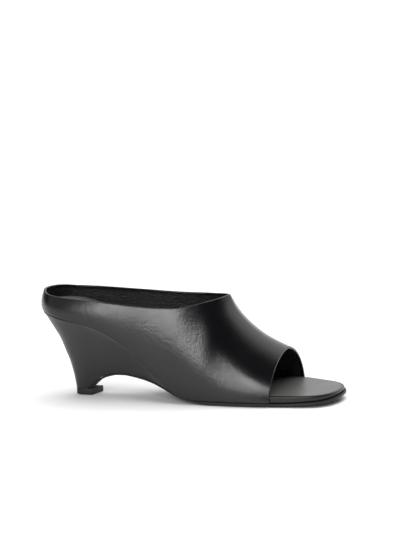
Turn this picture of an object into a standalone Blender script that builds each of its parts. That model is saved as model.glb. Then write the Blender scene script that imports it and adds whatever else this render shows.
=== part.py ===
"""Peep toe mule, right shoe: the construction in Blender, metres, heel at -X, toe at +X, inner side at +Y.

Every length is a share of a named size.  "along" runs from 0 at the back of the heel to 1 at the toe
tip, "lateral" and "medial" are shares of the ball width either side of the shoe's middle line, and
heights are shares of the seat height unless a column says otherwise.
"""
import math
from typing import NamedTuple

import bmesh
import bpy
import numpy as np

LENGTH = 0.2410            # back of the heel to the toe tip
BALL_WIDTH = 0.0800        # across the upper at the ball
SEAT_HEIGHT = 0.0680       # floor to the bottom edge of the upper at the back of the heel

WALL = 0.0018              # leather and lining of the upper together
CLEARANCE = 0.0003         # left between neighbouring pieces
RIM_INSET = WALL + 0.0005  # edge of the insole, in from the outside of the upper
SOLE_INSET = 0.0010        # edge of the outsole, in from the outside of the upper
SOCK_INSET = 0.0011        # edge of the sock lining, in from the edge of the insole
SOCK_THICKNESS = 0.0009
SOLE_CROWN = 0.0008        # how far the outsole's edges stand off the floor across the forefoot
LIFT_HEIGHT = 0.0050
LIFT_WIDTH = 0.0146
LIFT_ALONG = 0.107, 0.178  # back and front of the top piece, as along
LIFT_BEVEL = 0.0003        # its bottom edge is broken by this
LIFT_SKEW = 0.0022         # the inner corner of its front stands this far forward, the outer one back
HEEL_MIDDLE = -0.0844      # middle of the heel, across, as a share of the ball width
UPPER_ROWS = 13
SIDE_STATIONS = 54
CLOSED_STATIONS = 19


class Outline(NamedTuple):
    """Outside edge of the upper where it meets the sole, seen from above."""
    along: float
    lateral: float
    medial: float


class Side(NamedTuple):
    """Side view of the foot: bottom edge of the upper and top of the footbed."""
    along: float
    feather: float
    footbed: float


class Underside(NamedTuple):
    """Floor side of the outsole: height, thickness, and its edge as a share of the outline."""
    along: float
    height: float
    thickness: float
    spread: float


class Back(NamedTuple):
    """Rear face of the wedge: where it stands at a height."""
    height: float
    along: float


class Collar(NamedTuple):
    """Top line of the upper on each side."""
    along: float
    lateral: float
    medial: float


class Section(NamedTuple):
    """One section of the upper: its foot on each side, its ridge, and how full it is."""
    lateral_along: float
    medial_along: float
    ridge_along: float
    ridge_side: float
    ridge_height: float
    power: float
    swell: float


OUTLINE = (
    Outline(0.0069, -0.0844, -0.0844),
    Outline(0.0298, -0.2844, 0.1156),
    Outline(0.0595, -0.3719, 0.2031),
    Outline(0.0992, -0.4156, 0.2469),
    Outline(0.1587, -0.4344, 0.2656),
    Outline(0.2182, -0.4406, 0.2594),
    Outline(0.2975, -0.4406, 0.2406),
    Outline(0.3768, -0.4406, 0.2344),
    Outline(0.4562, -0.4531, 0.2594),
    Outline(0.5355, -0.4781, 0.3156),
    Outline(0.6149, -0.4994, 0.3906),
    Outline(0.6942, -0.5069, 0.4594),
    Outline(0.7537, -0.5019, 0.4906),
    Outline(0.7934, -0.4906, 0.4969),
    Outline(0.8330, -0.4781, 0.4906),
    Outline(0.8786, -0.4669, 0.4319),
    Outline(0.9124, -0.4506, 0.3719),
    Outline(0.9421, -0.4200, 0.3130),
    Outline(0.9700, -0.3500, 0.2350),
    Outline(0.9900, -0.2531, 0.1500),
    Outline(1.0042, -0.0300, -0.0300),
)
SIDE = (
    Side(0.0069, 1.0000, 1.1103),
    Side(0.0496, 0.9794, 1.1029),
    Side(0.0992, 0.9397, 1.0870),
    Side(0.1488, 0.9000, 1.0480),
    Side(0.1983, 0.8500, 0.9800),
    Side(0.2479, 0.7735, 0.9000),
    Side(0.2975, 0.6750, 0.8000),
    Side(0.3471, 0.5426, 0.6735),
    Side(0.3967, 0.3618, 0.5000),
    Side(0.4290, 0.2368, 0.3676),
    Side(0.4618, 0.1412, 0.2500),
    Side(0.4959, 0.0809, 0.1676),
    Side(0.5355, 0.0529, 0.1235),
    Side(0.5752, 0.0485, 0.1118),
    Side(0.6545, 0.0485, 0.1160),
    Side(0.7200, 0.0485, 0.1230),
    Side(0.8000, 0.0485, 0.1270),
    Side(0.8529, 0.0547, 0.1285),
    Side(0.9124, 0.0721, 0.1324),
    Side(0.9520, 0.0853, 0.1397),
    Side(1.0042, 0.1147, 0.1515),
)
UNDERSIDE = (
    Underside(0.1646, 0.0779, 0.0221, 0.270),
    Underside(0.1805, 0.1310, 0.0221, 0.290),
    Underside(0.1993, 0.1809, 0.0221, 0.320),
    Underside(0.2187, 0.2180, 0.0221, 0.355),
    Underside(0.2370, 0.2400, 0.0221, 0.390),
    Underside(0.2628, 0.2600, 0.0221, 0.435),
    Underside(0.2901, 0.2620, 0.0221, 0.480),
    Underside(0.3108, 0.2540, 0.0221, 0.515),
    Underside(0.3481, 0.2290, 0.0221, 0.570),
    Underside(0.3855, 0.1930, 0.0221, 0.630),
    Underside(0.4216, 0.1480, 0.0221, 0.740),
    Underside(0.4573, 0.0985, 0.0228, 0.860),
    Underside(0.4755, 0.0760, 0.0235, 0.925),
    Underside(0.5017, 0.0475, 0.0255, 0.975),
    Underside(0.5266, 0.0270, 0.0270, 0.990),
    Underside(0.5554, 0.0110, 0.0335, 0.997),
    Underside(0.5901, 0.0010, 0.0431, 1.000),
    Underside(0.6099, 0.0000, 0.0441, 1.000),
    Underside(0.6446, 0.0000, 0.0441, 1.000),
    Underside(0.8000, 0.0000, 0.0441, 1.000),
    Underside(0.8529, 0.0059, 0.0441, 1.000),
    Underside(0.9124, 0.0243, 0.0412, 1.000),
    Underside(0.9520, 0.0412, 0.0375, 1.000),
    Underside(1.0042, 0.0765, 0.0309, 1.000),
)
BACK = (
    Back(0.0779, 0.1071),
    Back(0.2000, 0.1026),
    Back(0.4015, 0.0902),
    Back(0.5426, 0.0759),
    Back(0.6721, 0.0628),
    Back(0.7779, 0.0460),
    Back(0.8824, 0.0280),
    Back(0.9956, 0.0077),
)
COLLAR = (
    Collar(0.0000, 1.2441, 1.2441),
    Collar(0.0159, 1.2441, 1.2441),
    Collar(0.0298, 1.2150, 1.2420),
    Collar(0.0867, 1.1860, 1.2180),
    Collar(0.1780, 1.1559, 1.2030),
    Collar(0.2578, 1.1260, 1.1900),
    Collar(0.3421, 1.0910, 1.1770),
    Collar(0.4165, 1.0720, 1.1620),
    Collar(0.4726, 1.0690, 1.1530),
    Collar(0.5157, 1.0900, 1.1490),
    Collar(0.5597, 1.1220, 1.1480),
    Collar(0.5950, 1.1480, 1.1560),
    Collar(0.6149, 1.1620, 1.1640),
    Collar(0.6294, 1.1735, 1.1735),
)
WAIST_END = 0.62           # where the waist of the outsole has opened out into the forefoot
ARCH_CROWN = 0.235         # highest point of the arch between heel and forefoot
FAIRING_PASSES = 12        # how often the turn from the side wall to the vamp is averaged
FAIRING_REACH = 0.030      # and how far to either side of the throat
CLOSED_SECTIONS = 6        # the first rows of SECTION meet at the ridge, the rest are open above
SECTION = (
    Section(0.7829, 0.8336, 0.8087, 0.0656, 0.5647, 1.78, 0.0004),
    Section(0.7339, 0.7874, 0.7672, 0.0480, 0.6360, 1.84, 0.0007),
    Section(0.6843, 0.7339, 0.7216, 0.0300, 0.7353, 1.90, 0.0010),
    Section(0.6347, 0.6843, 0.6759, 0.0080, 0.8824, 1.95, 0.0012),
    Section(0.5970, 0.6426, 0.6448, -0.0150, 1.0382, 1.98, 0.0013),
    Section(0.5762, 0.6178, 0.6294, -0.0300, 1.1735, 2.00, 0.0014),
    Section(0.5593, 0.5970, 0.6116, -0.0406, 1.2550, 2.00, 0.0014),
    Section(0.5395, 0.5762, 0.5888, -0.0450, 1.3700, 2.00, 0.0014),
    Section(0.5137, 0.5474, 0.5597, -0.0480, 1.5300, 2.00, 0.0014),
    Section(0.4889, 0.5187, 0.5307, -0.0520, 1.6900, 2.00, 0.0013),
    Section(0.4601, 0.4810, 0.4975, -0.0560, 1.8200, 2.00, 0.0012),
    Section(0.4145, 0.4274, 0.4353, -0.0630, 1.9100, 2.00, 0.0009),
    Section(0.3441, 0.3441, 0.3523, -0.0740, 1.8900, 2.00, 0.0006),
    Section(0.2608, 0.2608, 0.2692, -0.0820, 1.8100, 2.00, 0.0005),
    Section(0.1775, 0.1775, 0.1987, -0.0844, 1.7300, 2.00, 0.0006),
    Section(0.1190, 0.1190, 0.1573, -0.0844, 1.7000, 2.00, 0.0009),
    Section(0.0744, 0.0744, 0.1406, -0.0844, 1.7100, 2.00, 0.0011),
    Section(0.0407, 0.0407, 0.1324, -0.0844, 1.7300, 2.00, 0.0012),
    Section(0.0179, 0.0179, 0.1282, -0.0844, 1.7353, 2.00, 0.0012),
    Section(0.0069, 0.0069, 0.1282, -0.0844, 1.7353, 2.00, 0.0012),
)


def column(table, name):
    """One named column of a table as an array."""
    return np.array([getattr(row, name) for row in table], dtype=float)


def smooth_through(xs, ys, at):
    """Values at `at` on a curve through (xs, ys) that never overshoots a table value."""
    xs, ys, at = np.asarray(xs, float), np.asarray(ys, float), np.asarray(at, float)
    step = np.diff(xs)
    slope = np.diff(ys) / step
    tangent = np.zeros_like(ys)
    for i in range(1, len(xs) - 1):
        if slope[i - 1] * slope[i] > 0.0:
            before, after = 2 * step[i] + step[i - 1], step[i] + 2 * step[i - 1]
            tangent[i] = (before + after) / (before / slope[i - 1] + after / slope[i])
    tangent[0], tangent[-1] = slope[0], slope[-1]
    cell = np.clip(np.searchsorted(xs, at, side="right") - 1, 0, len(xs) - 2)
    t = (at - xs[cell]) / step[cell]
    t = np.clip(t, 0.0, 1.0)
    a, b = ys[cell], ys[cell + 1]
    return (a * (1 + 2 * t) * (1 - t) ** 2 + step[cell] * tangent[cell] * t * (1 - t) ** 2
            + b * t * t * (3 - 2 * t) + step[cell] * tangent[cell + 1] * t * t * (t - 1))


def curve_through(xs, ys, at):
    """Values at `at` on the natural cubic curve through (xs, ys)."""
    xs, ys, at = np.asarray(xs, float), np.asarray(ys, float), np.asarray(at, float)
    step, count = np.diff(xs), len(xs)
    matrix, right = np.eye(count), np.zeros(count)
    for i in range(1, count - 1):
        matrix[i, i - 1:i + 2] = step[i - 1], 2.0 * (step[i - 1] + step[i]), step[i]
        right[i] = 6.0 * ((ys[i + 1] - ys[i]) / step[i] - (ys[i] - ys[i - 1]) / step[i - 1])
    bend = np.linalg.solve(matrix, right)
    cell = np.clip(np.searchsorted(xs, at, side="right") - 1, 0, count - 2)
    h, low, high = step[cell], xs[cell + 1] - at, at - xs[cell]
    return ((bend[cell] * low ** 3 + bend[cell + 1] * high ** 3) / (6.0 * h)
            + (ys[cell] / h - bend[cell] * h / 6.0) * low + (ys[cell + 1] / h - bend[cell + 1] * h / 6.0) * high)


def to_x(along):
    return (np.asarray(along, float) - 0.5) * LENGTH


def to_along(x):
    return np.asarray(x, float) / LENGTH + 0.5


def turn_of(along, table=OUTLINE):
    """Angle of a point on the outline: 0 at the back of the heel, pi at the toe."""
    first, last = table[0].along, table[-1].along
    share = (np.asarray(along, float) - first) / (last - first)
    return np.arccos(np.clip(1.0 - 2.0 * share, -1.0, 1.0))


def along_of(turn, table=OUTLINE):
    first, last = table[0].along, table[-1].along
    return first + (last - first) * (1.0 - np.cos(turn)) / 2.0


def outline_side(along, side):
    """Across position of the outline, in metres; side is "lateral" or "medial"."""
    turns = turn_of(column(OUTLINE, "along"))
    return BALL_WIDTH * curve_through(turns, column(OUTLINE, side), turn_of(along))


def feather(along):
    return SEAT_HEIGHT * smooth_through(column(SIDE, "along"), column(SIDE, "feather"), along)


def footbed(along):
    return SEAT_HEIGHT * smooth_through(column(SIDE, "along"), column(SIDE, "footbed"), along)


def underside(along, name):
    value = smooth_through(column(UNDERSIDE, "along"), column(UNDERSIDE, name), along)
    return value if name == "spread" else SEAT_HEIGHT * value


def middle(along):
    """The line the wedge and the waist of the outsole narrow towards, across."""
    return BALL_WIDTH * np.interp(along, (0.0, 0.27, 0.55, 0.80, 1.0),
                                  (HEEL_MIDDLE, HEEL_MIDDLE, -0.04, 0.0, -0.03))


def inset_outline(count, inset):
    """Points of the outline from heel to toe on each side, moved in by `inset`."""
    turns = np.linspace(0.0, math.pi, count)
    along = along_of(turns)
    sides = []
    for side, outward in (("lateral", -1.0), ("medial", 1.0)):
        points = np.column_stack([to_x(along), outline_side(along, side)])
        run = np.gradient(points, axis=0)
        run[0], run[-1] = (0.0, outward), (0.0, -outward)
        run /= np.linalg.norm(run, axis=1)[:, None]
        inward = np.column_stack([run[:, 1], -run[:, 0]]) * outward
        sides.append(points + inward * inset)
    return sides


def new_piece(name, vertices, faces, material):
    """A closed, outward-facing object from raw vertices and faces."""
    mesh = bpy.data.meshes.new(name)
    mesh.from_pydata([tuple(map(float, v)) for v in vertices], [], faces)
    work = bmesh.new()
    work.from_mesh(mesh)
    bmesh.ops.remove_doubles(work, verts=work.verts, dist=1e-7)
    bmesh.ops.dissolve_degenerate(work, edges=work.edges, dist=1e-7)
    bmesh.ops.recalc_face_normals(work, faces=work.faces)
    work.to_mesh(mesh)
    work.free()
    mesh.validate()
    mesh.materials.append(material)
    piece = bpy.data.objects.new(name, mesh)
    bpy.context.scene.collection.objects.link(piece)
    return piece


def loft(name, loops, material, caps=(True, True)):
    """A closed solid through loops of equal length; a cap is filled where asked."""
    count = len(loops[0])
    vertices = [point for loop in loops for point in loop]
    faces = []
    for i in range(len(loops) - 1):
        for j in range(count):
            a, b = i * count + j, i * count + (j + 1) % count
            faces.append((a, b, b + count, a + count))
    for wanted, start in zip(caps, (0, (len(loops) - 1) * count)):
        if wanted:
            faces.append(tuple(range(start, start + count)))
    return new_piece(name, vertices, faces, material)


def leather(name, colour, roughness):
    material = bpy.data.materials.new(name)
    material.use_nodes = True
    shader = material.node_tree.nodes["Principled BSDF"]
    shader.inputs["Base Color"].default_value = (*colour, 1.0)
    shader.inputs["Roughness"].default_value = roughness
    return material


def slab(name, inset, low, high, soften, material, count=61):
    """A sheet over the whole foot between two heights, its edge rounded by `soften`."""
    lateral, medial = inset_outline(count, inset)
    across = np.linspace(0.0, 1.0, 7)
    loops = []
    for left, right in zip(lateral, medial):
        along = to_along((left[0] + right[0]) / 2.0)
        bottom, top = low(along), high(along)
        width = max(right[1] - left[1], 1e-9)
        edge = min(soften, 0.25 * (top - bottom))
        share = min(edge / width, 0.12)
        ring = []
        for t in across:
            t = share + t * (1.0 - 2.0 * share)
            ring.append((*(left + (right - left) * t), top))
        ring.append((*right, top - edge))
        ring.append((*right, bottom + edge))
        for t in across[::-1]:
            t = share + t * (1.0 - 2.0 * share)
            ring.append((*(left + (right - left) * t), bottom))
        ring.append((*left, bottom + edge))
        ring.append((*left, top - edge))
        loops.append(ring)
    return loft(name, loops, material, caps=(False, False))


def build_insole(material):
    gap = SOCK_THICKNESS + CLEARANCE
    return slab("insole", RIM_INSET, feather, lambda a: footbed(a) - gap, 0.0009, material)


def build_sock(material):
    return slab("sock_lining", RIM_INSET + SOCK_INSET, lambda a: footbed(a) - SOCK_THICKNESS, footbed,
                0.0003, material)


def offset_curve(points, distance):
    """A side-view curve moved square to itself, upwards for a positive distance."""
    run = np.gradient(points, axis=0)
    run /= np.linalg.norm(run, axis=1)[:, None]
    return points + np.column_stack([-run[:, 1], run[:, 0]]) * np.asarray(distance)[:, None]


def build_outsole(material):
    first, last = UNDERSIDE[0].along, UNDERSIDE[-1].along - SOLE_INSET / LENGTH
    waist = np.linspace(first, WAIST_END, 34)
    front = WAIST_END + (last - WAIST_END) * np.sin(np.linspace(0.0, math.pi / 2.0, 26))
    stations = np.concatenate([waist, front[1:]])
    fine_along = np.linspace(first, UNDERSIDE[-1].along, 400)
    fine = np.column_stack([to_x(fine_along), underside(fine_along, "height")])
    upper_side = offset_curve(fine, underside(fine_along, "thickness"))
    left_edge, right_edge = inset_outline(400, SOLE_INSET)
    across = np.linspace(-1.0, 1.0, 9)
    loops = []
    for along in stations:
        x, low = float(to_x(along)), float(underside(along, "height"))
        top_x = float(np.interp(along, fine_along, upper_side[:, 0]))
        top_z = float(np.interp(along, fine_along, upper_side[:, 1]))
        spread, centre = float(underside(along, "spread")), float(middle(along))
        left = centre + (float(np.interp(x, left_edge[:, 0], left_edge[:, 1])) - centre) * spread
        right = centre + (float(np.interp(x, right_edge[:, 0], right_edge[:, 1])) - centre) * spread
        if along > WAIST_END:
            top_x, top_z = x, low + float(underside(along, "thickness"))
        crown = SOLE_CROWN * float(np.interp(along, (0.50, WAIST_END, 0.86, 0.95), (0.0, 1.0, 1.0, 0.3)))
        half, centre = (right - left) / 2.0, (right + left) / 2.0
        ring = [(x, centre + half * t, low + crown * max(0.0, (abs(t) - 0.5) / 0.5) ** 2) for t in across]
        ring += [(top_x, centre + half * t, top_z) for t in across[::-1]]
        loops.append(ring)
    return loft("outsole", loops, material, caps=(True, True))


def wedge_half(x, z, side, low):
    """Across position of the wedge's side at a point of its side view; `low` is its lower height there."""
    along = float(to_along(x))
    top = float(feather(along)) - CLEARANCE
    depth = min(max((top - z) / max(top - low, 1e-6), 0.0), 1.0)
    shrink = 1.0 - (1.0 - float(underside(along, "spread"))) * depth ** 0.82
    heel_back = float(to_x(OUTLINE[0].along))
    back = float(to_x(smooth_through(column(BACK, "height"), column(BACK, "along"), z / SEAT_HEIGHT)))
    blend = min(1.0, max(0.0, (top - z) / (0.03 * SEAT_HEIGHT)))
    start = heel_back + (back - heel_back) * blend * blend * (3.0 - 2.0 * blend)
    near = min(1.0, max(0.0, 1.0 - (x - start) / (0.45 * BALL_WIDTH)))
    matched = heel_back + max(0.0, x - start) / shrink
    probe = float(to_along(matched * near + x * (1.0 - near)))
    probe = min(probe, 0.6)
    centre = float(middle(along))
    full = float(outline_side(probe, side))
    edge_inset = SOLE_INSET * 0.3 * (1.0 if side == "lateral" else -1.0)
    if abs(full - centre) < abs(edge_inset):
        edge_inset = 0.0
    return centre + (full + edge_inset - centre) * shrink


def build_wedge(material):
    fine_along = np.linspace(UNDERSIDE[0].along, 0.50, 220)
    under = np.column_stack([to_x(fine_along), underside(fine_along, "height")])
    arch = offset_curve(under, underside(fine_along, "thickness") + CLEARANCE)
    base = LIFT_HEIGHT + CLEARANCE

    def roof(x):
        return float(feather(to_along(x))) - CLEARANCE

    tip = next(i for i in range(len(arch)) if roof(arch[i, 0]) - arch[i, 1] < 0.0006)
    arch = arch[:tip]
    arch = np.vstack([[arch[0, 0] - (arch[0, 1] - base) * 0.9, base], arch])
    heights = np.linspace(base, float(feather(OUTLINE[0].along)) - CLEARANCE, 120)
    back = np.column_stack([to_x(smooth_through(column(BACK, "height"), column(BACK, "along"),
                                                heights / SEAT_HEIGHT)), heights])
    corner = back[-1]

    def spaced(points, count):
        length = np.concatenate([[0.0], np.cumsum(np.linalg.norm(np.diff(points, axis=0), axis=1))])
        marks = np.linspace(0.0, length[-1], count)
        return np.column_stack([np.interp(marks, length, points[:, 0]), np.interp(marks, length, points[:, 1])])

    leg, run = 20, 26
    split = int(np.searchsorted(arch[:, 0], to_x(ARCH_CROWN)))
    inner = np.vstack([spaced(arch[:split + 1], leg), spaced(arch[split:], run)[1:]])
    ease = 1.0 - np.cos(np.linspace(0.0, math.pi / 2.0, run))
    top_x = corner[0] + (arch[-1, 0] - corner[0]) * (0.55 * np.linspace(0.0, 1.0, run) + 0.45 * ease)
    outer = np.vstack([spaced(back, leg), [(x, roof(x)) for x in top_x[1:]]])
    shares = 1.0 - (1.0 - np.linspace(0.0, 1.0, 11)) ** 1.7
    loops = []
    for near, far in zip(inner, outer):
        lateral, medial = [], []
        for t in shares:
            x, z = near + (far - near) * t
            low = max(float(np.interp(x, arch[:, 0], arch[:, 1])), base)
            lateral.append((x, wedge_half(x, z, "lateral", low), z))
            medial.append((x, wedge_half(x, z, "medial", low), z))
        loops.append(lateral + medial[::-1])
    return loft("wedge_heel", loops, material, caps=(True, True))


def build_top_piece(material):
    back_x, front_x = to_x(LIFT_ALONG)
    centre, half = BALL_WIDTH * HEEL_MIDDLE, LIFT_WIDTH / 2.0
    waist_x = back_x + half * 1.15
    plan = [(waist_x - (waist_x - back_x) * math.sin(a), centre - half * math.cos(a))
            for a in np.linspace(0.0, math.pi, 19)]
    plan = [(front_x - LIFT_SKEW, centre - half)] + plan + [(front_x + LIFT_SKEW, centre + half)]
    plan = np.array(plan)
    centre_point = plan.mean(axis=0)
    loops = []
    for z, scale in ((0.0, 1.0 - 2.0 * LIFT_BEVEL / LIFT_WIDTH), (LIFT_BEVEL, 1.0), (LIFT_HEIGHT, 1.0)):
        loops.append([(*(centre_point + (p - centre_point) * scale), z) for p in plan])
    return loft("top_piece", loops, material)


def section_at(q):
    """Every column of SECTION at a fractional row number."""
    rows = np.arange(len(SECTION), dtype=float)
    values = {name: float(curve_through(rows, column(SECTION, name), q)) for name in Section._fields}
    for name in ("lateral_along", "medial_along"):
        values[name] = float(along_of(curve_through(rows, turn_of(column(SECTION, name)), q)))
    return values


def upper_wall(q, side, open_top):
    """Points up one side of one section of the upper's outside, foot to collar or ridge."""
    row = section_at(q)
    foot_along = row[side + "_along"]
    foot = np.array([to_x(foot_along), outline_side(foot_along, side)], dtype=float)
    ridge = np.array([to_x(row["ridge_along"]), BALL_WIDTH * row["ridge_side"]], dtype=float)
    low, high = float(feather(foot_along)), SEAT_HEIGHT * row["ridge_height"]
    power = row["power"]

    def point(angle):
        rise, reach = math.sin(angle) ** (2.0 / power), math.cos(angle) ** (2.0 / power)
        plan = ridge + (foot - ridge) * reach
        return np.array([plan[0], plan[1], low + (high - low) * rise])

    last = math.pi / 2.0
    if open_top:
        lines = column(COLLAR, "along"), column(COLLAR, side)
        below, above = 0.0, last
        for _ in range(40):
            mid = (below + above) / 2.0
            x, _, z = point(mid)
            if z < SEAT_HEIGHT * float(smooth_through(*lines, to_along(x))):
                below = mid
            else:
                above = mid
        last = below
    outward = (foot - ridge) / max(np.linalg.norm(foot - ridge), 1e-9)
    points = []
    for j in range(UPPER_ROWS + 1):
        share = j / UPPER_ROWS
        spot = point(last * share)
        swell = row["swell"] * math.sin(math.pi * share ** 0.75)
        points.append(spot + np.array([*(outward * swell), 0.0]))
    return points


def smooth_step(share):
    """Ease from 0 to 1 with flat ends."""
    share = min(1.0, max(0.0, share))
    return share * share * (3.0 - 2.0 * share)


def faired(walls):
    """The sections of one side with the turn from side wall to vamp softened, edges kept."""
    smooth = walls.copy()
    for _ in range(FAIRING_PASSES):
        smooth[1:-1] = 0.25 * smooth[:-2] + 0.5 * smooth[1:-1] + 0.25 * smooth[2:]
    throat = walls[CLOSED_STATIONS - 1, :, 0]
    near = np.exp(-((walls[:, :, 0] - throat) / FAIRING_REACH) ** 2)
    shares = np.arange(UPPER_ROWS + 1) / UPPER_ROWS
    inside = np.array([smooth_step(t / 0.12) * smooth_step((1.0 - t) / 0.25) for t in shares])
    return walls + (smooth - walls) * (near * inside)[:, :, None]


def build_upper(material):
    throat = CLOSED_SECTIONS - 1
    closed = np.linspace(0.0, throat, CLOSED_STATIONS)
    open_shares = np.linspace(0.0, 1.0, SIDE_STATIONS - CLOSED_STATIONS + 1)[1:]
    stations = np.concatenate([closed, throat + (len(SECTION) - 1 - throat) * open_shares ** 1.12])
    vertices, faces = [], []
    for side in ("lateral", "medial"):
        walls = faired(np.array([upper_wall(q, side, i >= CLOSED_STATIONS) for i, q in enumerate(stations)]))
        starts = len(vertices) + (UPPER_ROWS + 1) * np.arange(len(stations))
        vertices += list(walls.reshape(-1, 3))
        for a, b in zip(starts, starts[1:]):
            faces += [(a + j, b + j, b + j + 1, a + j + 1) for j in range(UPPER_ROWS)]
    piece = new_piece("upper", vertices, faces, material)
    wall = piece.modifiers.new("wall", "SOLIDIFY")
    wall.thickness = WALL
    wall.offset = -1.0
    wall.use_even_offset = True
    return piece


def clear_scene():
    for item in list(bpy.data.objects):
        bpy.data.objects.remove(item, do_unlink=True)


def main():
    clear_scene()
    nappa = leather("upper_leather", (0.035, 0.036, 0.040), 0.38)
    wrap = leather("insole_leather", (0.060, 0.060, 0.063), 0.45)
    sock = leather("sock_leather", (0.110, 0.110, 0.112), 0.60)
    cover = leather("wedge_leather", (0.045, 0.046, 0.049), 0.42)
    rubber = leather("sole_rubber", (0.020, 0.020, 0.021), 0.65)
    tip = leather("top_piece_rubber", (0.015, 0.015, 0.015), 0.60)
    build_upper(nappa)
    build_insole(wrap)
    build_sock(sock)
    build_outsole(rubber)
    build_wedge(cover)
    build_top_piece(tip)


main()
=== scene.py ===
"""Looks of the peep toe mule: a right shoe in dark nappa leather on a covered wedge.

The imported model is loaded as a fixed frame.  Every visible piece is then built again at a finer
resolution from the same section tables as the solids: the upper with its folded edges and lining,
the wrapped insole and its sock, the thin sole, the covered wedge and the heel tip.  Units are metres;
the heel is at -X, the toe at +X and the inner side of the foot at +Y.
"""
from __future__ import annotations

import logging
import math
from dataclasses import dataclass, field
from enum import Enum
from typing import Callable, NamedTuple, Sequence

import bmesh
import bpy
import numpy as np
from mathutils import Matrix, Vector

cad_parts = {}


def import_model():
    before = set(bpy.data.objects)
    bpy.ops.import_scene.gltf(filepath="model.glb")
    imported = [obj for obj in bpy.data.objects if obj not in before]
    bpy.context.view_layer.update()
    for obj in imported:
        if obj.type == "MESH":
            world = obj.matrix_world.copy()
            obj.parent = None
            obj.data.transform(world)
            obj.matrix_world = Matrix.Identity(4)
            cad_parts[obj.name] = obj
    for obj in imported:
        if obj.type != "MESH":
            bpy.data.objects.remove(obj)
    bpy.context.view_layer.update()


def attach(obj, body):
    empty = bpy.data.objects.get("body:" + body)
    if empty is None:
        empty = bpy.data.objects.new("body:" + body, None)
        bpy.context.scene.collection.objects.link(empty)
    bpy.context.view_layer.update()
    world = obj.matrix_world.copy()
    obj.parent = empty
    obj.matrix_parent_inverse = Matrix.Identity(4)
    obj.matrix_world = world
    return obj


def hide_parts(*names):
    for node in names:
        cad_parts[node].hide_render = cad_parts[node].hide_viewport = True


LOG = logging.getLogger("mule")

Ring = list[tuple[float, float, float]]
ROOT = "root"


class Side(Enum):
    """The two sides of a right shoe, with the direction each faces along Y."""

    LATERAL = -1.0
    MEDIAL = 1.0

    @property
    def column(self) -> str:
        """Name of this side's column in the tables."""
        return self.name.lower()


class OutlineRow(NamedTuple):
    """Outside edge of the upper where it meets the sole, seen from above."""

    along: float
    lateral: float
    medial: float


class ProfileRow(NamedTuple):
    """Side view of the foot: bottom edge of the upper and top of the footbed."""

    along: float
    feather: float
    footbed: float


class UndersideRow(NamedTuple):
    """Floor side of the outsole: height, thickness, and its edge as a share of the outline."""

    along: float
    height: float
    thickness: float
    spread: float


class BackRow(NamedTuple):
    """Rear face of the wedge: where it stands at a height."""

    height: float
    along: float


class CollarRow(NamedTuple):
    """Top line of the upper on each side."""

    along: float
    lateral: float
    medial: float


class SectionRow(NamedTuple):
    """One section of the upper: its foot on each side, its ridge, and how full it is."""

    lateral_along: float
    medial_along: float
    ridge_along: float
    ridge_side: float
    ridge_height: float
    power: float
    swell: float


OUTLINE: tuple[OutlineRow, ...] = (
    OutlineRow(0.0069, -0.0844, -0.0844),
    OutlineRow(0.0298, -0.2844, 0.1156),
    OutlineRow(0.0595, -0.3719, 0.2031),
    OutlineRow(0.0992, -0.4156, 0.2469),
    OutlineRow(0.1587, -0.4344, 0.2656),
    OutlineRow(0.2182, -0.4406, 0.2594),
    OutlineRow(0.2975, -0.4406, 0.2406),
    OutlineRow(0.3768, -0.4406, 0.2344),
    OutlineRow(0.4562, -0.4531, 0.2594),
    OutlineRow(0.5355, -0.4781, 0.3156),
    OutlineRow(0.6149, -0.4994, 0.3906),
    OutlineRow(0.6942, -0.5069, 0.4594),
    OutlineRow(0.7537, -0.5019, 0.4906),
    OutlineRow(0.7934, -0.4906, 0.4969),
    OutlineRow(0.8330, -0.4781, 0.4906),
    OutlineRow(0.8786, -0.4669, 0.4319),
    OutlineRow(0.9124, -0.4506, 0.3719),
    OutlineRow(0.9421, -0.4200, 0.3130),
    OutlineRow(0.9700, -0.3500, 0.2350),
    OutlineRow(0.9900, -0.2531, 0.1500),
    OutlineRow(1.0042, -0.0300, -0.0300),
)
PROFILE: tuple[ProfileRow, ...] = (
    ProfileRow(0.0069, 1.0000, 1.1103),
    ProfileRow(0.0496, 0.9794, 1.1029),
    ProfileRow(0.0992, 0.9397, 1.0870),
    ProfileRow(0.1488, 0.9000, 1.0480),
    ProfileRow(0.1983, 0.8500, 0.9800),
    ProfileRow(0.2479, 0.7735, 0.9000),
    ProfileRow(0.2975, 0.6750, 0.8000),
    ProfileRow(0.3471, 0.5426, 0.6735),
    ProfileRow(0.3967, 0.3618, 0.5000),
    ProfileRow(0.4290, 0.2368, 0.3676),
    ProfileRow(0.4618, 0.1412, 0.2500),
    ProfileRow(0.4959, 0.0809, 0.1676),
    ProfileRow(0.5355, 0.0529, 0.1235),
    ProfileRow(0.5752, 0.0485, 0.1118),
    ProfileRow(0.6545, 0.0485, 0.1160),
    ProfileRow(0.7200, 0.0485, 0.1230),
    ProfileRow(0.8000, 0.0485, 0.1270),
    ProfileRow(0.8529, 0.0547, 0.1285),
    ProfileRow(0.9124, 0.0721, 0.1324),
    ProfileRow(0.9520, 0.0853, 0.1397),
    ProfileRow(1.0042, 0.1147, 0.1515),
)
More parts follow.
